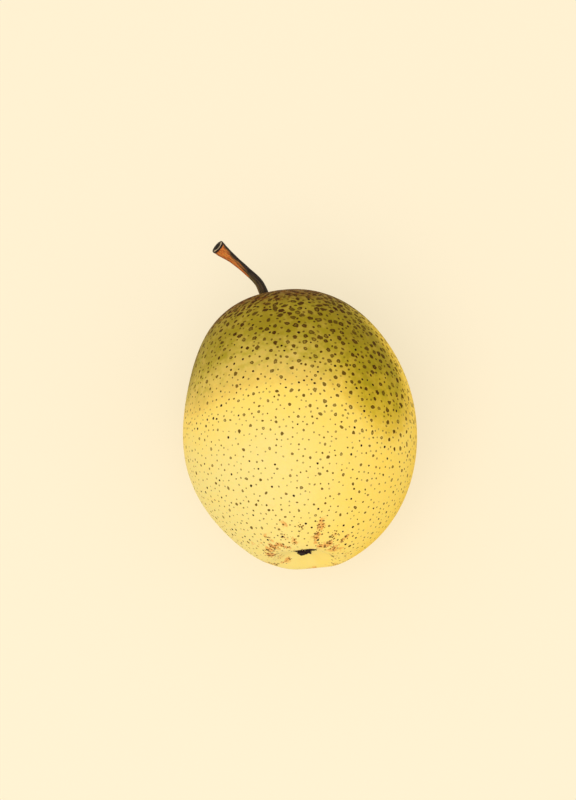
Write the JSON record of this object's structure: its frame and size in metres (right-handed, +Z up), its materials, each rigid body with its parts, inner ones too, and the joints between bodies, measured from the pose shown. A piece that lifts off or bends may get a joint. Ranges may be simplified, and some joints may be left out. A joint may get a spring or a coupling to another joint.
{
  "type": "kieffer pear",
  "caption": "Ripe yellow pear lying on its side, with a short bent woody stem and a small dried calyx in its basin.",
  "frame": {"origin": "the middle of the small flat that the pear rests on", "axes": "+Z up from the resting surface, +Y towards the stem end, +X across the fruit; the core dips 6 degrees towards the stem end"},
  "size_m": [0.0746, 0.1039, 0.0746],
  "materials": {
    "skin": "satin",
    "stem": "matte",
    "calyx": "matte"
  },
  "bodies": {
    "root": {"fruit": "skin", "stem": "stem", "calyx": "calyx"}
  },
  "joints": []
}
